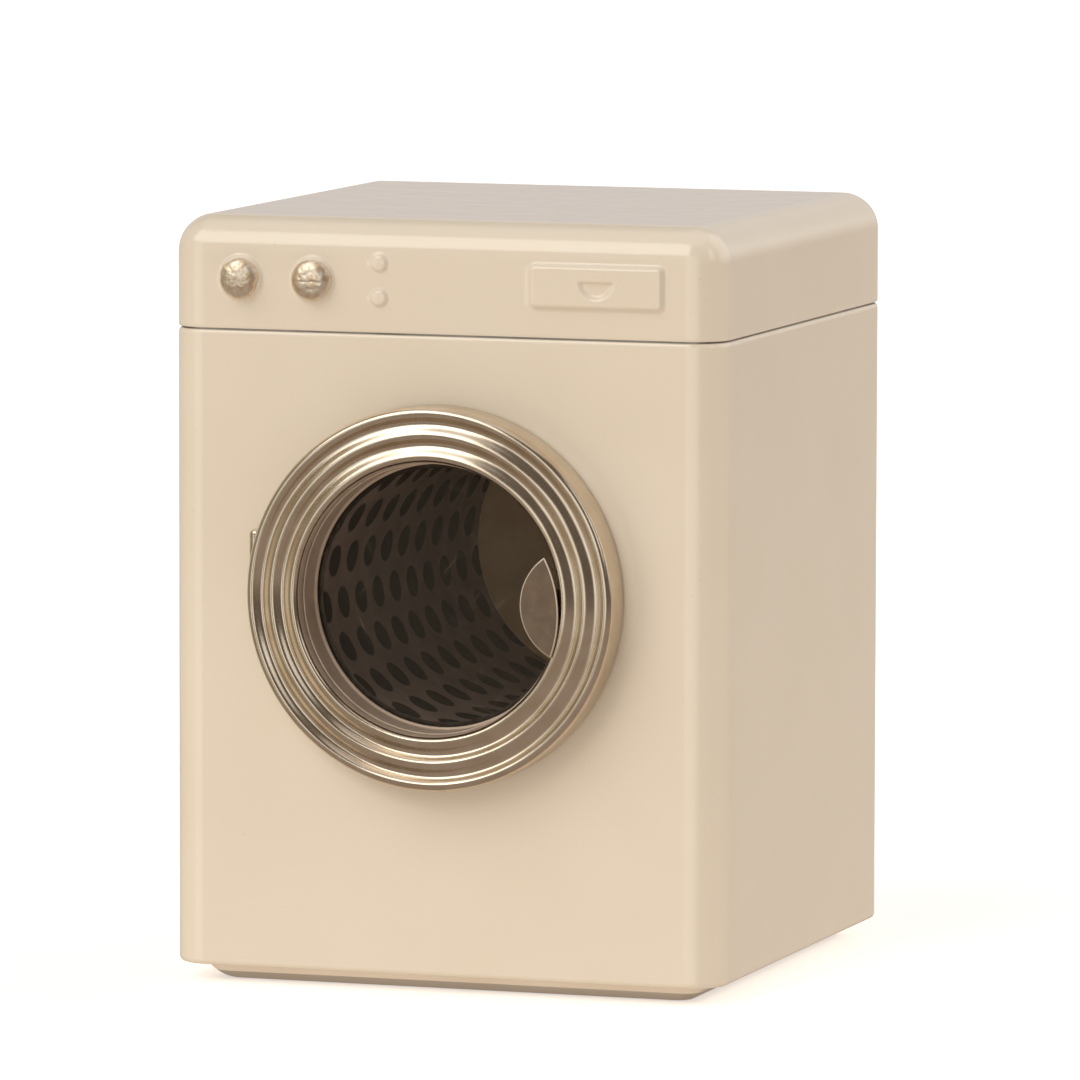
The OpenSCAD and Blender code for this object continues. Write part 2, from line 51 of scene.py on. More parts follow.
def box_mm(node):
    """A CAD node's lowest and highest corner, in millimetres."""
    return [[c / MM for c in corner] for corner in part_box(node)]


(left_x, front_y, wrap_low), (right_x, back_y, seam_z) = box_mm("cabinet_wrap")
sheet_t = 0.4
corner_r = 6.5
corner_steps = 14
pan_rim_top = box_mm("base_pan")[1][2]
plinth_in, plinth_draw, plinth_corner_r = 4.5, 3.7, 2.6


def outline(inset, z, radius=None, front_xs=None, groove=0):
    """Points round the cabinet's plan, drawn in by inset. A groove is pressed down the middle of the back."""
    r = max(corner_r - inset, 0) if radius is None else radius
    cx, cy = right_x - inset - r, back_y - inset - r
    xs = [-1, 1] if front_xs is None else front_xs
    points = [(x * cx, -cy - r, z) for x in xs]
    for centre_x, centre_y, start in ((cx, -cy, -90), (cx, cy, 0), (-cx, cy, 90), (-cx, -cy, 180)):
        if start == 90:
            points += [(0.15, cy + r, z), (0, cy + r - groove, z), (-0.15, cy + r, z)]
        for step in range(corner_steps + 1):
            if start in (-90, 180) and step == (0 if start == -90 else corner_steps):
                continue
            a = math.radians(start + 90 * step / corner_steps)
            points.append((centre_x + r * math.cos(a), centre_y + r * math.sin(a), z))
    return points


def loft(rows, closed=False):
    """Points and faces of a skin over rows of equally many points, each row a closed outline."""
    count = len(rows[0])
    faces = []
    for i in range(len(rows) if closed else len(rows) - 1):
        low, high = i * count, (i + 1) % len(rows) * count
        for k in range(count):
            after = (k + 1) % count
            faces.append((low + k, low + after, high + after, high + k))
    return [p for row in rows for p in row], faces


def arc(cx, cy, rx, ry, start, end, steps):
    """Points on an ellipse's arc, angles in degrees."""
    turns = [math.radians(start + (end - start) * i / steps) for i in range(steps + 1)]
    return [(cx + rx * math.cos(a), cy + ry * math.sin(a)) for a in turns]


def make_piece(name, points, faces, body, slot, materials, crease=32, weld=0.002):
    """A mesh in millimetres becomes a piece that rides on a body, smooth but for edges over crease degrees."""
    mesh = bpy.data.meshes.new(name)
    mesh.from_pydata([[c * MM for c in p] for p in points], [], faces)
    skin = bmesh.new()
    skin.from_mesh(mesh)
    bmesh.ops.remove_doubles(skin, verts=skin.verts, dist=weld * MM)
    bmesh.ops.recalc_face_normals(skin, faces=skin.faces)
    skin.to_mesh(mesh)
    skin.free()
    piece = bpy.data.objects.new(name, mesh)
    bpy.context.scene.collection.objects.link(piece)
    for material in materials:
        mesh.materials.append(material)
    soften(piece, crease)
    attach(piece, body)
    return piece


def soften(piece, crease):
    """Smooth shading that keeps flat sheets flat beside their rounded edges."""
    piece.data.shade_smooth()
    piece.data.set_sharp_from_angle(angle=math.radians(crease))
    if "flat" not in piece.modifiers:
        flat = piece.modifiers.new("flat", "WEIGHTED_NORMAL")
        flat.keep_sharp = True
        flat.weight = 90


def linear(colour):
    """An sRGB hex colour as linear RGBA."""
    parts = [int(colour[i:i + 2], 16) / 255 for i in (1, 3, 5)]
    return [c / 12.92 if c <= 0.04045 else ((c + 0.055) / 1.055) ** 2.4 for c in parts] + [1]


def add_node(owner, kind, inputs=None, **settings):
    """Adds a node. A value of inputs is a plain value, or the output of another node to link."""
    node = owner.node_tree.nodes.new(kind)
    for key, value in settings.items():
        setattr(node, key, value)
    for key, value in (inputs or {}).items():
        if isinstance(value, bpy.types.NodeSocket):
            owner.node_tree.links.new(value, node.inputs[key])
        else:
            node.inputs[key].default_value = value
    return node


def new_material(name):
    """An empty material and the position of each point on the object, in millimetres."""
    material = bpy.data.materials.new(name)
    material.use_nodes = True
    material.node_tree.nodes.clear()
    where = add_node(material, "ShaderNodeTexCoord")
    scaled = add_node(material, "ShaderNodeVectorMath", {0: where.outputs["Object"], 1: (1 / MM,) * 3},
                      operation="MULTIPLY")
    return material, scaled.outputs[0]


def grain(material, place, size, detail=3, stretch=(1, 1, 1), rough=0.55):
    """Noise whose grains are about size millimetres across, from 0 to 1."""
    shaped = add_node(material, "ShaderNodeVectorMath", {0: place, 1: stretch}, operation="MULTIPLY")
    return add_node(material, "ShaderNodeTexNoise",
                    {"Vector": shaped.outputs[0], "Scale": 1 / size, "Detail": detail, "Roughness": rough}
                    ).outputs[0]


def ramp(material, factor, low, high, low_value=0.0, high_value=1.0):
    """Maps factor from low..high to low_value..high_value, smoothly and within bounds."""
    return add_node(material, "ShaderNodeMapRange",
                    {"Value": factor, "From Min": low, "From Max": high,
                     "To Min": low_value, "To Max": high_value},
                    interpolation_type="SMOOTHSTEP").outputs[0]


def blend_colours(material, factor, first, second):
    """Mixes two colours, each a hex string or an output, by factor."""
    mix = add_node(material, "ShaderNodeMix", {"Factor": factor}, data_type="RGBA")
    for socket, colour in ((mix.inputs[6], first), (mix.inputs[7], second)):
        if isinstance(colour, str):
            socket.default_value = linear(colour)
        else:
            material.node_tree.links.new(colour, socket)
    return mix.outputs[2]


def put_on(material, shader):
    add_node(material, "ShaderNodeOutputMaterial", {"Surface": shader.outputs[0]})
    return material


def stoved_enamel(name, base, thin, rough):
    """Stoved enamel over tinplate: a thin even gloss coat, sprayed on and baked, with faint orange peel."""
    material, place = new_material(name)
    cloud = grain(material, place, 24, 2)
    colour = blend_colours(material, ramp(material, cloud, 0.3, 0.7), base, thin)
    speck = grain(material, place, 0.45, 1)
    colour = blend_colours(material, ramp(material, speck, 0.76, 0.8, 0, 0.35), colour, "#A8937A")
    peel = add_node(material, "ShaderNodeBump",
                    {"Height": grain(material, place, 1.6, 2), "Distance": 0.0000008, "Strength": 1.0})
    dull = ramp(material, grain(material, place, 6), 0.3, 0.7, rough - 0.015, rough + 0.015)
    return put_on(material, add_node(material, "ShaderNodeBsdfPrincipled", {
        "Base Color": colour, "Roughness": dull, "IOR": 1.65, "Normal": peel.outputs[0]}))


# The plinth is the same enamel, a shade darker and duller.
plinth_enamel = stoved_enamel("plinth_enamel_stoved", "#EADCC9", "#E4D6C2", 0.34)


def plinth_inset(share):
    """Inset of the plinth's wall at a share of its way down, rounding into the flat bottom."""
    return plinth_in + plinth_draw * (share + 1 - math.sqrt(1 - share * share)) / 2


pan_outside = [(sheet_t, pan_rim_top), (sheet_t, wrap_low + 1)]
pan_outside += arc(1, wrap_low + 1, 0.6, 0.6, 180, 270, 5)[1:]
pan_outside += [(1.3, wrap_low + 0.2), (1.5, wrap_low + 0.05), (plinth_in - 0.3, wrap_low)]
pan_wall = [(plinth_inset(s), wrap_low * (1 - s)) for s in (0, 0.2, 0.4, 0.6, 0.75, 0.86, 0.93, 0.97, 0.992, 1)]
pan_rows = [outline(inset, z) for inset, z in pan_outside]
pan_rows += [outline(inset, z, plinth_corner_r) for inset, z in pan_wall]
foot_row = len(pan_rows) - 1
pan_rows += [outline(inset + sheet_t, max(z, sheet_t), plinth_corner_r) for inset, z in pan_wall[::-1]]
pan_rows += [outline(inset + sheet_t, z + (sheet_t if z <= wrap_low + 0.2 else 0))
             for inset, z in pan_outside[::-1]]
points, faces = loft(pan_rows)
count = len(pan_rows[0])
last = len(pan_rows) - 1
faces = [f for f in faces if not (foot_row * count <= f[0] < (foot_row + 1) * count)]
faces += [tuple(range(foot_row * count, (foot_row + 1) * count)),
          tuple(range((foot_row + 1) * count, (foot_row + 2) * count))]
faces += [(last * count + k, last * count + (k + 1) % count, (k + 1) % count, k) for k in range(count)]
base_pan = make_piece("base_pan_drawn", points, faces, "cabinet", "plinth_enamel", [plinth_enamel])
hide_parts("base_pan")

# Cabinet: one sheet of painted tinplate wrapped round the front, sides and back and closed with a
# lock seam down the middle of the back. Its lower edge is curled in, its top edge rolled for the lid.
cream_enamel = stoved_enamel("cream_enamel_stoved", "#EDE1CF", "#EBDFCC", 0.12)


def rolled_metal(name, base, dark, rough, size=0.5, stretch=(1, 1, 12), bump=0.0000012):
    """Sheet or wire as it left the rolls: long fine grain and patches of dull oxide."""
    material, place = new_material(name)
    lines = grain(material, place, size, 3, stretch)
    patch = grain(material, place, 9, 4)
    colour = blend_colours(material, ramp(material, patch, 0.35, 0.75), base, dark)
    dull = ramp(material, lines, 0.25, 0.75, rough - 0.07, rough + 0.09)
    relief = add_node(material, "ShaderNodeBump", {"Height": lines, "Distance": bump, "Strength": 1.0})
    return put_on(material, add_node(material, "ShaderNodeBsdfPrincipled", {
        "Base Color": colour, "Metallic": 1.0, "Roughness": dull, "Normal": relief.outputs[0]}))


# Bare tinplate inside: soft grey mirror with rolling lines.
bare_tinplate = rolled_metal("bare_tinplate_rolled", "#B9B5AD", "#97928A", 0.38)

edge_curl_r = 1.0
edge_roll_in, edge_roll_h = 0.5, 1.0
wrap_profile = arc(edge_curl_r, wrap_low + edge_curl_r, edge_curl_r, edge_curl_r, 270, 180, 8)
wrap_profile += [(0, seam_z - edge_roll_h - 0.4)]
wrap_profile += [(edge_roll_in - x, z) for x, z in
                 arc(0, seam_z - edge_roll_h, edge_roll_in, edge_roll_h, 0, 90, 8)]
wrap_inside = [(edge_roll_in, seam_z - 0.25), (sheet_t, seam_z - edge_roll_h), (sheet_t, wrap_low + edge_curl_r)]
wrap_inside += arc(edge_curl_r, wrap_low + edge_curl_r, 0.6, 0.6, 180, 270, 5)[1:]
wrap_rows = [outline(inset, z, groove=0.16 if z > wrap_low + 0.7 else 0) for inset, z in wrap_profile]
wrap_rows += [outline(inset, z) for inset, z in wrap_inside]
points, faces = loft(wrap_rows, closed=True)

# The lock seam's fold, four sheets pressed flat against the inside of the back
fold_half_w, fold_low, fold_high = 2.5, pan_rim_top + 0.2, seam_z - 8.2
fold_plan = [(fold_half_w * c, back_y - sheet_t - 0.4 * s - 0.02) for c, s in
             [(1, 0), (1, 0.5), (0.96, 0.85), (0.88, 1), (0, 0.94), (-0.88, 1), (-0.96, 0.85), (-1, 0.5), (-1, 0)]]
fold_points, fold_faces = loft([[(x, y, z) for x, y in fold_plan] for z in (fold_low, fold_high)])
fold_faces += [tuple(range(9)), tuple(range(9, 18))]
points += fold_points
faces += [tuple(len(points) - len(fold_points) + k for k in f) for f in fold_faces]
cabinet = make_piece("cabinet_wrap_folded", points, faces, "cabinet", "cream_enamel",
                     [cream_enamel, bare_tinplate])
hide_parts("cabinet_wrap")


def cut_away(piece, *cutters):
    """Cuts solids, each a (radius or size, matrix) pair in millimetres, out of a piece."""
    for shape, place in cutters:
        block = bmesh.new()
        if isinstance(shape, tuple):
            bmesh.ops.create_cube(block, size=1, matrix=Matrix.Diagonal((*shape, 1)))
        else:
            bmesh.ops.create_cone(block, cap_ends=True, segments=96, radius1=shape, radius2=shape, depth=8)
        bmesh.ops.transform(block, matrix=Matrix.Scale(MM, 4) @ place, verts=block.verts)
        mesh = bpy.data.meshes.new("cutter")
        block.to_mesh(mesh)
        block.free()
        cutter = bpy.data.objects.new("cutter", mesh)
        bpy.context.scene.collection.objects.link(cutter)
        cut = piece.modifiers.new("cut", "BOOLEAN")
        cut.object, cut.operation, cut.solver = cutter, "DIFFERENCE", "EXACT"
    flat = piece.modifiers["flat"]
    flat.show_viewport = flat.show_render = False
    graph = bpy.context.evaluated_depsgraph_get()
    mesh = bpy.data.meshes.new_from_object(piece.evaluated_get(graph))
    for cut in [m for m in piece.modifiers if m.type == "BOOLEAN"]:
        bpy.data.objects.remove(cut.object)
        piece.modifiers.remove(cut)
    piece.data = mesh
    flat.show_viewport = flat.show_render = True


door_z = sum(c[2] for c in box_mm("door_ring")) / 2
ring_r = box_mm("door_ring")[1][0]
ring_proud = front_y - box_mm("door_ring")[0][1]
mouth_r = 25.1
hinge_x, hinge_up, hinge_l, knuckle_l = -ring_r, 1.7, 16.0, 5.17
hinge_z = door_z + hinge_up
facing = Matrix.Rotation(math.radians(90), 4, "X")
slots = [((0.5, 4, knuckle_l + 0.1), Matrix.Translation((hinge_x, front_y, hinge_z + s * (knuckle_l + 0.25))))
         for s in (-1, 1)]
cut_away(cabinet, (mouth_r, Matrix.Translation((0, front_y, door_z)) @ facing), *slots)
for face in cabinet.data.polygons:
    x, y, z = (c / MM for c in face.center)
    inside = max(abs(x) - right_x, abs(y) - back_y) < -0.3 and wrap_low + 0.5 < z < seam_z - 0.5
    corner = abs(x) > right_x - corner_r and abs(y) > back_y - corner_r
    if corner:
        reach = math.hypot(abs(x) - right_x + corner_r, abs(y) - back_y + corner_r)
        inside = reach < corner_r - 0.3 and wrap_low + 0.5 < z < seam_z - 0.5
    face.material_index = 1 if inside else 0
soften(cabinet, 32)

# Neck band, mouth collar and drum bracket: bare tinplate strips and a bridge, spot-welded inside the
# cabinet. Their CAD shapes are right, so they only take their metals.
def dress(material, *names):
    """Gives CAD nodes a finish, with smooth curved faces."""
    for name in names:
        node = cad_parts[name]
        node.data.materials.clear()
        node.data.materials.append(material)
        join = node.modifiers.new("join", "WELD")
        join.merge_threshold = 0.000001
        smooth = node.modifiers.new("smooth", "WEIGHTED_NORMAL")
        smooth.keep_sharp = True
        node.data.shade_smooth()
        node.data.set_sharp_from_angle(angle=math.radians(32))


dress(bare_tinplate, "neck_collar", "mouth_collar", "drum_bracket", "drum_hub", "door_back_ring")
# Turned brass: yellow metal with fine lathe rings, for the bush, the axle and the rivets.
turned_brass = rolled_metal("brass_turned", "#C9A86E", "#B08F57", 0.3, size=0.3, stretch=(1, 8, 1))
dress(turned_brass, "bearing_bush", "drum_axle", "door_leaf_rivets")
# Oiled spring steel: darker and browner than the tin.
spring_steel = rolled_metal("spring_steel_oiled", "#5E5853", "#45403D", 0.4)
dress(spring_steel, "axle_push_nut", "outer_knob_clip", "inner_knob_clip", "window_snap_ring")

# Drum: tinplate printed with rows of dark dots before it was rolled into a tube, closed by a plain
# disc at the back. It turns on a brass axle in the bracket's bush.
drum_low, drum_high = box_mm("drum_tube")
drum_out_r = drum_high[0]
drum_wall = 0.3
dot_r, dot_rows_round, dot_pitch = 2.85, 20, 9.0


def drum_tin(name, base, worn, dark):
    """Lithographed tin: bronze-brown lacquer, satin, with scuffs. Where dark is given it has the dots."""
    material, place = new_material(name)
    patch = grain(material, place, 7, 4)
    colour = blend_colours(material, ramp(material, patch, 0.3, 0.75), base, worn)
    if dark:
        axes = add_node(material, "ShaderNodeSeparateXYZ", {0: place}).outputs
        up = add_node(material, "ShaderNodeMath", {0: axes[2], 1: door_z}, operation="SUBTRACT").outputs[0]
        turn = add_node(material, "ShaderNodeMath", {0: up, 1: axes[0]}, operation="ARCTAN2").outputs[0]
        row = add_node(material, "ShaderNodeMath", {0: turn, 1: dot_rows_round / (2 * math.pi)},
                       operation="MULTIPLY").outputs[0]
        whole = add_node(material, "ShaderNodeMath", {0: row}, operation="FLOOR").outputs[0]
        odd = add_node(material, "ShaderNodeMath", {0: whole, 1: 2.0}, operation="FLOORED_MODULO").outputs[0]
        along = add_node(material, "ShaderNodeMath", {0: axes[1], 1: 1 / dot_pitch},
                         operation="MULTIPLY").outputs[0]
        shifted = add_node(material, "ShaderNodeMath", {0: odd, 1: 0.5, 2: along},
                           operation="MULTIPLY_ADD").outputs[0]
        offsets = []
        for value, pitch in ((row, 2 * math.pi * drum_out_r / dot_rows_round), (shifted, dot_pitch)):
            part = add_node(material, "ShaderNodeMath", {0: value}, operation="FRACT").outputs[0]
            part = add_node(material, "ShaderNodeMath", {0: part, 1: 0.5}, operation="SUBTRACT").outputs[0]
            offsets.append(add_node(material, "ShaderNodeMath", {0: part, 1: pitch},
                                    operation="MULTIPLY").outputs[0])
        spot = add_node(material, "ShaderNodeCombineXYZ", {0: offsets[0], 1: offsets[1]}).outputs[0]
        reach = add_node(material, "ShaderNodeVectorMath", {0: spot}, operation="LENGTH").outputs["Value"]
        inked = ramp(material, reach, dot_r - 0.25, dot_r + 0.25, 1, 0)
        colour = blend_colours(material, inked, colour, dark)
    dull = ramp(material, patch, 0.3, 0.7, 0.42, 0.58)
    return put_on(material, add_node(material, "ShaderNodeBsdfPrincipled", {
        "Base Color": colour, "Roughness": dull, "IOR": 1.5}))


printed_tin = drum_tin("drum_lithographed_tin", "#B8ABAC", "#A6989A", "#30272A")
back_tin = drum_tin("drum_back_lacquered_tin", "#F3D9B8", "#E6C9A6", None)


def lathe(profile, steps, wander=None):
    """Rows for loft from a closed profile of (radius, height in front of the panel), round the door's axis."""
    rows = []
    for k in range(steps):
        a = 2 * math.pi * k / steps
        row = []
        for radius, proud in profile:
            dr, dh = wander(radius, proud, a) if wander else (0, 0)
            row.append(((radius + dr) * math.cos(a), front_y - proud - dh, door_z + (radius + dr) * math.sin(a)))
        rows.append(row)
    return rows


drum_mouth, drum_end = front_y - drum_low[1], front_y - drum_high[1]
drum_r = drum_out_r - drum_wall
drum_profile = [(drum_r + 0.02, drum_mouth), (drum_r, drum_mouth - 0.1)]
drum_profile += [(drum_r, drum_mouth + (drum_end - drum_mouth) * k / 24) for k in range(1, 24)]
drum_profile += [(drum_r, drum_end), (drum_out_r, drum_end), (drum_out_r, drum_mouth - 0.1),
                 (drum_out_r - 0.02, drum_mouth)]


def drum_dents(radius, proud, a):
    at = Vector((2 * math.cos(a), 2 * math.sin(a), proud / 18))
    return 0.05 * noise.noise(at), 0


drum = make_piece("drum_tube_rolled", *loft(lathe(drum_profile, 160, drum_dents), closed=True),
                  "drum", "printed_drum_tin", [printed_tin])
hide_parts("drum_tube")
dress(back_tin, "drum_back")

# Door ring and cup: deep-drawn brass-coloured tinplate. The ring's face has three rolled beads and a
# plain skirt; the separate cup that lines its opening seats the window against a narrow lip.
bead_edge, roll_w, bead_depth, bead_in, bead_count = 1.2, 0.9, 1.05, 1.5, 3
cup_out_r = box_mm("window_cup")[1][0]
cup_r = cup_out_r - sheet_t
outer_crest, inner_crest = ring_r - bead_edge, cup_out_r + roll_w
bead_pitch = (outer_crest - inner_crest) / (bead_count - 1)
door_gap = front_y - box_mm("door_ring")[1][1]


def drawn_lacquer(name, base, worn, rough, fine, metal=1.0):
    """Tinplate under champagne lacquer, drawn in a die: bright satin metal with drawing marks and rubs."""
    material, place = new_material(name)
    marks = grain(material, place, fine, 4)
    patch = grain(material, place, 5, 4)
    colour = blend_colours(material, ramp(material, patch, 0.3, 0.75), base, worn)
    dull = ramp(material, marks, 0.25, 0.75, rough - 0.03, rough + 0.06)
    relief = add_node(material, "ShaderNodeBump", {"Height": marks, "Distance": 0.0000008, "Strength": 1.0})
    return put_on(material, add_node(material, "ShaderNodeBsdfPrincipled", {
        "Base Color": colour, "Metallic": metal, "Roughness": dull, "Normal": relief.outputs[0]}))


champagne = drawn_lacquer("champagne_lacquered_tin_drawn", "#DED0BC", "#D3C3AC", 0.19, 0.2)
# The cup and the ring's inner wall take a duller, less metallic copy of the lacquer. Its darker colour is painted
# shade for the hollow of the opening.
cup_lacquer_painted_shade = drawn_lacquer("champagne_lacquered_tin_dull_painted_shade", "#CDB9A6", "#BFAB98", 0.5, 0.3, 0.35)
dress(champagne, "hinge_fixed_leaf", "hinge_pin", "hinge_door_leaf")

skirt_round_h = 1.5
inner_turn_h, inner_wall_low, inner_wall_r = ring_proud - 2, ring_proud - 2.75, 23.5
wave_steps = 64


def bead_height(u):
    """Height of the ring's face, u bead pitches in from its outer crest. The inner side of a bead is steeper."""
    along = bead_pitch * (u % 1)
    if along < bead_in:
        share = (1 - math.cos(math.pi * along / bead_in)) / 2
    else:
        share = (1 + math.cos(math.pi * (along - bead_in) / (bead_pitch - bead_in))) / 2
    return ring_proud - bead_depth * share


ring_outside = [(ring_r - 0.25, door_gap), (ring_r - 0.06, door_gap + 0.06), (ring_r, door_gap + 0.25)]
ring_outside += arc(outer_crest, ring_proud - skirt_round_h, bead_edge, skirt_round_h, 0, 90, 12)
for k in range(1, wave_steps):
    u = (bead_count - 1) * k / wave_steps
    ring_outside.append((outer_crest - bead_pitch * u, bead_height(u)))
turn_w = inner_crest - inner_wall_r
ring_outside += arc(inner_crest, inner_turn_h, turn_w, ring_proud - inner_turn_h, 90, 180, 14)
ring_outside += [(inner_wall_r, inner_wall_low + 0.1), (inner_wall_r + 0.08, inner_wall_low)]
ring_inside = [(inner_wall_r + sheet_t, inner_wall_low)]
ring_inside += arc(inner_crest, inner_turn_h, turn_w - sheet_t, ring_proud - inner_turn_h - sheet_t, 180, 90, 8)
for k in range(wave_steps // 2 - 1, 0, -1):
    u = (bead_count - 1) * k / (wave_steps // 2)
    ring_inside.append((outer_crest - bead_pitch * u, bead_height(u) - sheet_t))
ring_inside += arc(outer_crest, ring_proud - skirt_round_h, bead_edge - sheet_t,
                   skirt_round_h - sheet_t, 90, 0, 6)
ring_inside += [(ring_r - sheet_t, door_gap)]


def ring_wander(radius, proud, a):
    """Beads that a hand-fed press left a little uneven."""
    at = Vector((3 * math.cos(a), 3 * math.sin(a), radius / 3))
    hold = min(max((ring_r - radius) / 1.5, 0), 1)
    return 0.05 * hold * noise.noise(at), 0.03 * hold * noise.noise(at * 1.7 + Vector((9, 0, 0))) - 0.03 * hold


ring = make_piece("door_ring_beaded", *loft(lathe(ring_outside + ring_inside, 288, ring_wander), closed=True),
                  "door", "champagne_lacquer", [champagne, cup_lacquer_painted_shade], crease=50)
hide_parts("door_ring")
notch_right, notch_proud = hinge_x + 1.6, 3.2
cut_away(ring, ((8, 2 * notch_proud, hinge_l + 1.5),
                Matrix.Translation((notch_right - 4, front_y, hinge_z + 0.5))))
# Faces round the ring's opening take the darker lacquer, as painted shade in the hollow.
for face in ring.data.polygons:
    x, y, z = (c / MM for c in face.center)
    face.material_index = 1 if math.hypot(x, z - door_z) < inner_wall_r + 0.22 else 0
soften(ring, 50)

cup_back = front_y - box_mm("window_cup")[1][1]
lip_r, lip_low, lip_high = 22.75, -0.6, -0.2
cup_top = inner_wall_low - 0.03
cup_profile = [(cup_out_r, cup_back), (cup_out_r, cup_top - 0.22), (cup_out_r - 0.06, cup_top - 0.06),
               (cup_out_r - 0.2, cup_top), (cup_r + 0.05, cup_top - 0.06), (cup_r, cup_top - 0.22),
               (cup_r, lip_high + 0.35), (cup_r - 0.1, lip_high + 0.1),
               (lip_r + 0.1, lip_high), (lip_r, lip_high - 0.1), (lip_r, lip_low), (cup_r, lip_low),
               (cup_r, cup_back)]
cup = make_piece("window_cup_drawn", *loft(lathe(cup_profile, 256), closed=True),
                 "door", "champagne_lacquer", [cup_lacquer_painted_shade], crease=50)
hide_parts("window_cup")

# Window: a flat disc punched from clear acetate sheet, held in the cup by a snap ring. Years of
# wiping have left hairline scratches and a little haze.
def clear_sheet():
    material, place = new_material("clear_acetate_sheet")
    marks = None
    for angle, seed in ((24, 0.0), (-38, 40.0), (71, 90.0)):
        turned = add_node(material, "ShaderNodeVectorRotate",
                          {"Vector": place, "Angle": math.radians(angle)}, rotation_type="Y_AXIS").outputs[0]
        moved = add_node(material, "ShaderNodeVectorMath", {0: turned, 1: (seed, 0, seed)},
                         operation="ADD").outputs[0]
        lines = ramp(material, grain(material, moved, 0.35, 0, (1, 1, 0.03)), 0.8, 0.86)
        marks = lines if marks is None else add_node(
            material, "ShaderNodeMath", {0: marks, 1: lines}, operation="MAXIMUM").outputs[0]
    clear = add_node(material, "ShaderNodeBsdfTransparent", {"Color": linear("#F3F1EC")})
    gloss = add_node(material, "ShaderNodeBsdfPrincipled", {
        "Base Color": linear("#D8CFC2"), "Roughness": 0.1, "IOR": 1.49, "Metallic": 0.0})
    share = ramp(material, marks, 0, 1, 0.02, 0.09)
    return put_on(material, add_node(material, "ShaderNodeMixShader",
                                     {0: share, 1: clear.outputs[0], 2: gloss.outputs[0]}))


window_glass = clear_sheet()
window_low, window_high = box_mm("door_window")
window_r = window_high[0]
window_back, window_front = front_y - window_high[1], front_y - window_low[1]
window_profile = [(0.01, window_front)]
window_profile += [(window_r * s, window_front) for s in (0.3, 0.6, 0.85, 0.96)]
window_profile += [(window_r - 0.08, window_front), (window_r, window_front - 0.08),
                   (window_r, window_back + 0.08), (window_r - 0.08, window_back), (0.01, window_back)]
window = make_piece("door_window_punched", *loft(lathe(window_profile, 128), closed=True),
                    "door", "clear_window", [window_glass], weld=0.05)
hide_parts("door_window")

# Handle: a pointed finger plate, blanked and coated in a dull brown-gold lacquer, with a painted highlight
# along its edges, on a foot welded inside the cup.
tab_l, tab_in, tab_out, tab_lean = 17.3, 5.0, 1.9, 3.9
tab_x, tab_down, tab_low, tab_t = cup_out_r + 0.2 - tab_out, 0.4, ring_proud + 0.05, 0.4


def drawn_brown():
    material, place = new_material("brown_gold_lacquer_grained")
    fine = grain(material, place, 0.16, 3)
    patch = grain(material, place, 2.5, 4)
    colour = blend_colours(material, ramp(material, patch, 0.3, 0.7), "#806E5D", "#736253")
    colour = blend_colours(material, ramp(material, fine, 0.55, 0.75, 0, 0.5), colour, "#5D4E41")
    # The edges are painted light cream as a highlight where the rim catches the light; the lacquer there also turns
    # glossy and metallic.
    rim = add_node(material, "ShaderNodeAttribute", attribute_name="painted_edge_highlight").outputs["Fac"]
    colour = blend_colours(material, rim, colour, "#F1E3CC")
    dull = ramp(material, rim, 0, 1, 0.5, 0.25)
    metal = ramp(material, rim, 0, 1, 0.55, 1.0)
    relief = add_node(material, "ShaderNodeBump", {"Height": fine, "Distance": 0.000006, "Strength": 1.0})
    return put_on(material, add_node(material, "ShaderNodeBsdfPrincipled", {
        "Base Color": colour, "Metallic": metal, "Roughness": dull, "Normal": relief.outputs[0]}))


brown_lacquer = drawn_brown()


def lens_outline(inset, proud):
    """The plate's pointed outline, drawn in by inset, as points in the door's frame."""
    half = tab_l / 2
    in_r = (half ** 2 + tab_in ** 2) / (2 * tab_in)
    out_r = (half ** 2 + tab_out ** 2) / (2 * tab_out)

    def sides(y):
        return (in_r - tab_in - math.sqrt((in_r - inset) ** 2 - y * y),
                tab_out - out_r + math.sqrt((out_r - inset) ** 2 - y * y))

    low, high = 0, half
    for _ in range(40):
        tip = (low + high) / 2
        narrow = sides(tip)[1] < sides(tip)[0]
        low, high = (low, tip) if narrow else (tip, high)
    steps = 30
    ys = [low * math.sin(math.pi * (k / steps - 0.5)) for k in range(steps + 1)]
    plan = [(sides(y)[1], y) for y in ys] + [(sides(y)[0], y) for y in ys[::-1][1:-1]]
    lean = math.radians(tab_lean)
    return [(tab_x + x * math.cos(lean) - y * math.sin(lean), front_y - proud,
             door_z - tab_down + x * math.sin(lean) + y * math.cos(lean)) for x, y in plan]


tab_top = tab_low + tab_t
tab_rows = [lens_outline(inset, proud) for inset, proud in (
    (1.2, tab_low), (0.14, tab_low), (0.04, tab_low + 0.04), (0, tab_low + 0.14), (0, tab_top - 0.14),
    (0.04, tab_top - 0.05), (0.13, tab_top - 0.01), (0.3, tab_top), (1.2, tab_top))]
points, faces = loft(tab_rows)
count = len(tab_rows[0])
faces += [tuple(range(count)), tuple(range(len(points) - count, len(points)))]
tab_points = len(points)
foot_half, foot_low = 3.0, tab_low - 4
foot_rows = []
for k in range(17):
    y = -tab_down + foot_half * (k / 8 - 1)
    round_off = foot_low + 0.6 * (abs(k / 8 - 1) ** 6)
    foot_rows.append([(math.sqrt(r * r - y * y), front_y - h, door_z + y) for r, h in (
        (cup_r, round_off), (cup_r, tab_low + 0.1), (cup_r - sheet_t, tab_low + 0.1), (cup_r - sheet_t, round_off))])
foot_points, foot_faces = loft(foot_rows)
foot_faces += [(0, 1, 2, 3), tuple(range(len(foot_points) - 4, len(foot_points)))]
points += foot_points
faces += [tuple(tab_points + k for k in f) for f in foot_faces]
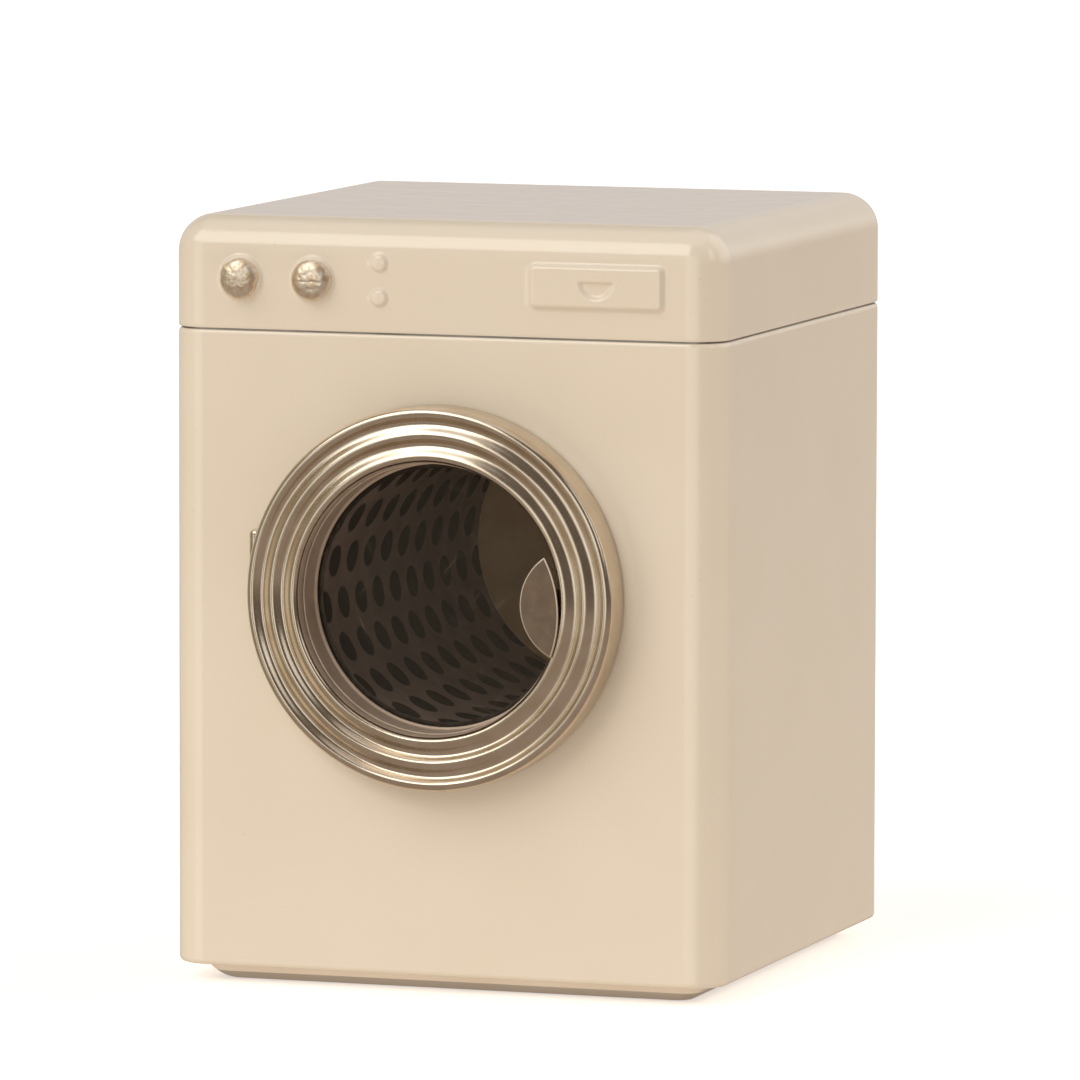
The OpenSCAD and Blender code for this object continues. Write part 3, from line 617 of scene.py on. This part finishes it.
tab = make_piece("handle_plate_blanked", points, faces, "door", "brown_gold_lacquer", [brown_lacquer], crease=60)
# The points along the plate's rounded rim carry the painted edge highlight.
painted_edge_highlight = tab.data.attributes.new("painted_edge_highlight", "FLOAT", "POINT")
edge_points = [Vector(p) * MM for row in tab_rows[2:7] for p in row]
for vertex, value in zip(tab.data.vertices, painted_edge_highlight.data):
    value.value = 1 if min((vertex.co - p).length for p in edge_points) < 0.00002 else 0
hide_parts("handle_tab")

# Hinge and magnet: a rolled barrel in three knuckles on a pin with a rounded head, and a disc of
# pressed and fired ferrite inside the ring that holds the door shut.
def fired_ferrite():
    material, place = new_material("ferrite_magnet_sintered")
    colour = blend_colours(material, grain(material, place, 0.4, 4), "#3D3D40", "#57575A")
    return put_on(material, add_node(material, "ShaderNodeBsdfPrincipled", {
        "Base Color": colour, "Roughness": 0.62, "IOR": 1.9}))


dress(fired_ferrite(), "door_magnet")

# Lid: one deep-drawn shell of painted tinplate that slips over the neck. The soap drawer with its
# half-moon grip, two lamps and two knob seats are pressed out of its front in the same stroke.
lid_low, lid_high = box_mm("lid")
lid_low_z, lid_top = lid_low[2], lid_high[2]
outer_knob_x = sum(c[0] for c in box_mm("outer_knob")) / 2
inner_knob_x = sum(c[0] for c in box_mm("inner_knob")) / 2
knob_z = sum(c[2] for c in box_mm("outer_knob")) / 2
knob_r = (box_mm("outer_knob")[1][0] - box_mm("outer_knob")[0][0]) / 2
seat_r, seat_flank, emboss_h = knob_r + 0.6, 0.9, 0.6
lamp_x, lamp_zs, lamp_r = -11.3, (seam_z + 6.3, seam_z + 12.3), 1.7
drawer_x, drawer_z, drawer_w, drawer_h, drawer_r = 28.0, seam_z + 9.1, 25.0, 8.6, 1.6
drawer_rise, drawer_flank = 0.85, 1.3
grip_r, grip_top, grip_flank = 3.3, 1.1, 1.2


def smooth(t):
    t = np.clip(t, 0, 1)
    return t * t * (3 - 2 * t)


def pressed_out(x, z):
    """How far the lid's front stands out at a point, in millimetres."""
    qx = np.abs(x - drawer_x) - drawer_w / 2 + drawer_r
    qz = np.abs(z - drawer_z) - drawer_h / 2 + drawer_r
    edge = np.hypot(np.maximum(qx, 0), np.maximum(qz, 0)) + np.minimum(np.maximum(qx, qz), 0) - drawer_r
    grip_reach = np.hypot(x - drawer_x, z - drawer_z - grip_top)
    grip = smooth((grip_r + 0.2 - grip_reach) / grip_flank) * smooth((drawer_z + grip_top + 0.1 - z) / 0.55)
    rise = drawer_rise * (smooth(-edge / drawer_flank) - 0.85 * grip)
    for knob_x in (outer_knob_x, inner_knob_x):
        reach = np.hypot(x - knob_x, z - knob_z)
        rise += emboss_h * smooth((seat_r + 0.1 - reach) / seat_flank)
    for lamp_z in lamp_zs:
        reach = np.hypot(x - lamp_x, z - lamp_z)
        rise += emboss_h * (0.75 * smooth((lamp_r + 0.1 - reach) / 0.8) + 0.4 * np.maximum(1 - (reach / lamp_r) ** 2, 0))
    return rise


flat_half = right_x - corner_r
front_columns = [-flat_half]
while front_columns[-1] < flat_half - 0.05:
    x = front_columns[-1]
    near = min(abs(x - c) - w for c, w in (
        (outer_knob_x, seat_r), (inner_knob_x, seat_r), (lamp_x, lamp_r), (drawer_x, drawer_w / 2)))
    front_columns.append(min(x + (0.2 if near < 0.4 else 0.8), flat_half))
share_xs = [x / flat_half for x in front_columns]
fillet_low = lid_top - corner_r
lid_profile = [(0.32, lid_low_z), (0.12, lid_low_z + 0.02), (0.02, lid_low_z + 0.25), (0, lid_low_z + 0.6)]
rise_steps = int((fillet_low - lid_low_z - 0.6) / 0.2)
lid_profile += [(0, lid_low_z + 0.6 + (fillet_low - lid_low_z - 0.6) * k / rise_steps)
                for k in range(1, rise_steps)]
lid_profile += [(corner_r - r, z) for r, z in arc(0, fillet_low, corner_r, corner_r, 0, 90, 32)]
outside = []
for inset, z in lid_profile:
    row = outline(inset, z, front_xs=share_xs)
    xs = np.array([p[0] for p in row[:len(share_xs)]])
    out = pressed_out(xs, np.full(len(xs), z))
    outside.append([(p[0], p[1] - out[i], p[2]) if i < len(out) else p for i, p in enumerate(row)])
count = len(outside[0])
points, faces = loft(outside)
faces.append(tuple(range(len(points) - count, len(points))))
lid = make_piece("lid_drawn", points, faces, "lid_body", "cream_enamel", [cream_enamel, bare_tinplate])
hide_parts("lid")
shell = lid.modifiers.new("sheet", "SOLIDIFY")
shell.thickness, shell.offset = sheet_t * MM, -1
shell.material_offset = 1
shell.use_even_offset = False
lid.modifiers.move(lid.modifiers.find("sheet"), 0)
cut_away(lid, *((1.05, Matrix.Translation((x, front_y, knob_z)) @ facing) for x in (outer_knob_x, inner_knob_x)))
lid.modifiers.remove(lid.modifiers["sheet"])
soften(lid, 32)

# Knobs: domed fasteners of gilt sheet, hammered by hand, each on a plain shank through the lid. The
# outer one has a torn, wrinkled rim; the inner one is rounder, with creases across its middle.
def gilt_plate():
    material, place = new_material("gilt_plated_sheet_hammered")
    pits = grain(material, place, 0.22, 4)
    patch = grain(material, place, 1.3, 4)
    colour = blend_colours(material, ramp(material, patch, 0.35, 0.7), "#F4E8D6", "#E2CBAB")
    colour = blend_colours(material, ramp(material, pits, 0.62, 0.82, 0, 0.8), colour, "#8E7355")
    tilted = add_node(material, "ShaderNodeVectorRotate",
                      {"Vector": place, "Angle": math.radians(38)}, rotation_type="Y_AXIS").outputs[0]
    scratches = grain(material, tilted, 0.12, 2, (1, 1, 0.1))
    height = add_node(material, "ShaderNodeMath", {0: scratches, 1: 0.6, 2: pits},
                      operation="MULTIPLY_ADD").outputs[0]
    relief = add_node(material, "ShaderNodeBump", {"Height": height, "Distance": 0.000014, "Strength": 1.0})
    dull = ramp(material, pits, 0.3, 0.7, 0.34, 0.5)
    return put_on(material, add_node(material, "ShaderNodeBsdfPrincipled", {
        "Base Color": colour, "Metallic": 0.92, "Roughness": dull, "Normal": relief.outputs[0]}))


gilt = gilt_plate()
knob_low, knob_high = box_mm("outer_knob")
knob_top = front_y - knob_low[1]
knob_dome_h, knob_shank_r = 1.9, 0.9
knob_base = knob_top - knob_dome_h
knob_end = front_y - knob_high[1]


def hammered_knob(name, node, body, centre_x, seed, ragged, creases):
    """A domed head from polar rows, its rim wandering by ragged, on a shank."""
    turns, steps = 96, 34
    rows = []
    for k in range(steps + 1):
        share = math.sin(math.pi / 2 * k / steps)
        row = []
        for i in range(turns):
            a = 2 * math.pi * i / turns
            c, s = math.cos(a), math.sin(a)
            rim = noise.noise(Vector((1.6 * c, 1.6 * s, seed))) + 0.5 * noise.noise(
                Vector((4.5 * c, 4.5 * s, seed + 5)))
            if ragged > 0.03:
                rim -= 1.6 * math.exp(-((a - 6.0) / 0.16) ** 2)
            r = knob_r * share * (1 + ragged * rim * share ** 3 - 0.6 * ragged)
            x, z = r * c, r * s
            height = knob_dome_h * math.sqrt(max(1 - share ** 2, 0)) ** 0.9
            bump = 0.10 * noise.noise(Vector((x / 0.9, z / 0.9, seed))) + 0.05 * noise.noise(
                Vector((x / 0.4, z / 0.4, seed + 2)))
            bump += creases * math.exp(-((z + 0.5) / 1.3) ** 2) * math.sin(
                5.2 * z + 1.1 * noise.noise(Vector((x / 1.5, z, seed))) * 3)
            height = min(height + bump * (1 - share ** 4), knob_dome_h)
            row.append((centre_x + x, front_y - knob_base - height, knob_z + z))
        rows.append(row)
    rim_row = rows[-1]
    for r, proud in ((0.9, knob_base - 0.02), (0.5, knob_base + 0.1)):
        rows.append([(centre_x + (p[0] - centre_x) * r, front_y - proud, knob_z + (p[2] - knob_z) * r)
                     for p in rim_row])
    for r, proud in ((knob_shank_r, knob_base + 0.1), (knob_shank_r, knob_end + 0.2),
                     (knob_shank_r - 0.2, knob_end)):
        rows.append([(centre_x + r * math.cos(2 * math.pi * i / turns), front_y - proud,
                      knob_z + r * math.sin(2 * math.pi * i / turns)) for i in range(turns)])
    points, faces = loft(rows)
    faces.append(tuple(range(len(points) - turns, len(points))))
    knob = make_piece(name, points, faces, body, "knob_plating", [gilt], crease=60)
    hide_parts(node)


hammered_knob("outer_knob_hammered", "outer_knob", "outer_knob_body", outer_knob_x, 3.0, 0.05, 0.02)
hammered_knob("inner_knob_hammered", "inner_knob", "inner_knob_body", inner_knob_x, 11.0, 0.015, 0.05)

# Floor: a wide sheet of matt white card, laid level under the machine.
floor_half = 8.0
floor_mesh = bpy.data.meshes.new("floor")
floor_mesh.from_pydata([(-floor_half, -floor_half, 0), (floor_half, -floor_half, 0),
                        (floor_half, floor_half, 0), (-floor_half, floor_half, 0)], [], [(0, 1, 2, 3)])
floor = bpy.data.objects.new("floor", floor_mesh)
bpy.context.scene.collection.objects.link(floor)
card, place = new_material("white_card_matt")
fibres = grain(card, place, 2, 3)
floor_mesh.materials.append(put_on(card, add_node(card, "ShaderNodeBsdfPrincipled", {
    "Base Color": blend_colours(card, fibres, "#F7F7F6", "#FAFAF9"), "Roughness": 0.9,
    "Emission Color": linear("#FFFFFF"), "Emission Strength": 0.42})))
floor.visible_glossy = False
floor.visible_diffuse = False

# Studio light: one long soft box high on the left, white cards low in front and a lamp behind the
# right shoulder, in a dim warm room. Azimuth 0 is the front, 90 the right side; angles in degrees.
world = bpy.data.worlds.new("soft_studio")
bpy.context.scene.world = world
world.use_nodes = True
world.node_tree.nodes.clear()
sight = add_node(world, "ShaderNodeTexCoord")
axes = add_node(world, "ShaderNodeSeparateXYZ", {0: sight.outputs["Generated"]}).outputs
ahead = add_node(world, "ShaderNodeMath", {0: axes[1], 1: -1.0}, operation="MULTIPLY").outputs[0]
around = add_node(world, "ShaderNodeMath", {0: axes[0], 1: ahead}, operation="ARCTAN2").outputs[0]
azimuth = add_node(world, "ShaderNodeMath", {0: around, 1: 180 / math.pi}, operation="MULTIPLY").outputs[0]
above = add_node(world, "ShaderNodeMath", {0: axes[2]}, operation="ARCSINE").outputs[0]
elevation = add_node(world, "ShaderNodeMath", {0: above, 1: 180 / math.pi}, operation="MULTIPLY").outputs[0]


def light_patch(under, colour, strength, azimuths, elevations, edge):
    """Lays a patch of light over what is under it, with soft edges so many degrees wide."""
    share = None
    for angle, (low, high) in ((azimuth, azimuths), (elevation, elevations)):
        for start, end in ((low - edge, low + edge), (high + edge, high - edge)):
            side = ramp(world, angle, min(start, end), max(start, end), float(start > end), float(start < end))
            share = side if share is None else add_node(
                world, "ShaderNodeMath", {0: share, 1: side}, operation="MULTIPLY").outputs[0]
    lit = [c * strength for c in linear(colour)[:3]]
    mix = add_node(world, "ShaderNodeMix", {"Factor": share, 7: (*lit, 1)}, data_type="RGBA")
    if isinstance(under, list):
        mix.inputs[6].default_value = under
    else:
        world.node_tree.links.new(under, mix.inputs[6])
    return mix.outputs[2]


room = [c * 0.15 for c in linear("#F0DDCD")[:3]] + [1]
room = light_patch(room, "#D8C6B8", 0.5, (-400, 400), (-90, -8), 4)
room = light_patch(room, "#D6CCB4", 0.45, (-112, -52), (-30, 55), 4)
room = light_patch(room, "#F6EFED", 0.62, (165, 400), (-10, 30), 8)
room = light_patch(room, "#F6EFED", 0.62, (-400, -112), (-10, 30), 8)
room = light_patch(room, "#FFFBF8", 1.2, (102, 165), (4, 58), 8)
room = light_patch(room, "#FFFFFF", 1.2, (66, 84), (12, 46), 3)
room = light_patch(room, "#FBF4F0", 0.75, (-400, 400), (60, 120), 3)
room = light_patch(room, "#FFFBF3", 1.1, (-10, 28), (-12, 26), 6)
room = light_patch(room, "#FFFDF8", 0.95, (-50, -25), (-13, 26), 2)
room = light_patch(room, "#FFFBF5", 2.7, (-66, -2), (27, 60), 1.5)
glow = add_node(world, "ShaderNodeBackground", {"Color": room, "Strength": 1.0})
add_node(world, "ShaderNodeOutputWorld", {"Surface": glow.outputs[0]})
world.cycles.sampling_method = "MANUAL"
world.cycles.sample_map_resolution = 1024

# Three cards that light the paint but are kept out of the reflections: one on the floor all round
# the machine, for its foot, one before it, a little high and left, and one at its right.
def light_card(name, side, energy, colour, placement):
    light = bpy.data.lights.new(name, "AREA")
    light.shape, light.size = "SQUARE", side
    light.energy, light.color = energy, linear(colour)[:3]
    card = bpy.data.objects.new(name, light)
    bpy.context.scene.collection.objects.link(card)
    card.matrix_world = placement
    card.visible_camera = card.visible_glossy = False


light_card("foot_card", 0.9, 1.35, "#FFF1DF", Matrix.Translation((0.1, -0.15, 0.0005)) @ Matrix.Rotation(math.pi, 4, "X"))
for name, energy, turn, rise in (("front_card", 1.4, -8, 24), ("side_card", 3.1, 112, 24)):
    light_card(name, 0.4, energy, "#FFFBF4", Matrix.Translation((0, 0, 0.07)) @ Matrix.Rotation(math.radians(turn), 4, "Z")
               @ Matrix.Rotation(math.radians(90 - rise), 4, "X") @ Matrix.Translation((0, 0, 1.2)))

# Camera: a long lens, a little above the middle and to the right of the front.
camera_azimuth, camera_elevation, camera_roll = math.radians(18.555), math.radians(6.001), math.radians(-0.129)
camera_distance, focal_length = 1.7635, 333.43
target = Vector((0.00128, 0, 0.07411))
toward = Vector((math.sin(camera_azimuth) * math.cos(camera_elevation),
                 -math.cos(camera_azimuth) * math.cos(camera_elevation), math.sin(camera_elevation)))
lens = bpy.data.cameras.new("camera")
lens.lens, lens.sensor_width = focal_length, 36
lens.clip_start, lens.clip_end = 0.1, 40
camera = bpy.data.objects.new("camera", lens)
bpy.context.scene.collection.objects.link(camera)
camera.location = target + toward * camera_distance
turn = toward.to_track_quat("Z", "Y").to_matrix().to_4x4() @ Matrix.Rotation(-camera_roll, 4, "Z")
camera.matrix_world = Matrix.Translation(camera.location) @ turn
bpy.context.scene.camera = camera
bpy.context.scene.view_settings.view_transform = "Standard"
